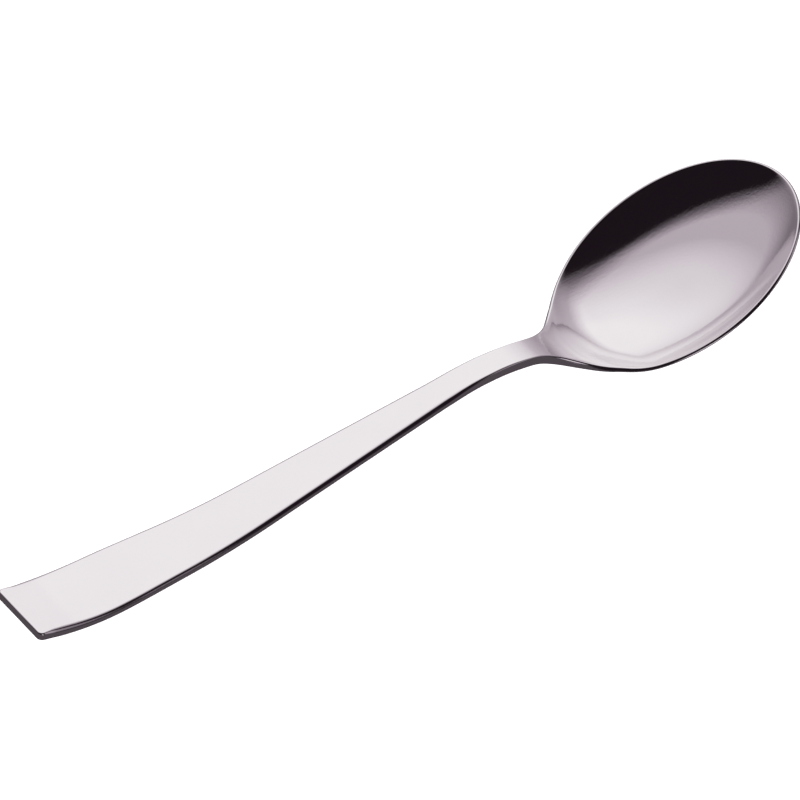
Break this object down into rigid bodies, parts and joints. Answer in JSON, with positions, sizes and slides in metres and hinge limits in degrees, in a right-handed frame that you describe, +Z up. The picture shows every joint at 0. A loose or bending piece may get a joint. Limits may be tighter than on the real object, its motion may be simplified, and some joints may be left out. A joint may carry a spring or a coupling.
{
  "type": "dessert spoon",
  "caption": "Dessert spoon pressed from one piece of polished stainless steel, with an oval bowl, a slim neck and a flat handle that widens to a square end.",
  "frame": {"origin": "on the table under the middle of the spoon's length and width, as the spoon lies with its bowl up", "axes": "+X from the handle's end to the bowl's tip, +Z up out of the bowl, +Y to the left when looking along +X"},
  "size_m": [0.1858, 0.0416, 0.0232],
  "materials": {
    "polished_steel": "mirror-polished stainless steel"
  },
  "bodies": {
    "root": {"dessert_spoon": "polished_steel"}
  },
  "joints": []
}
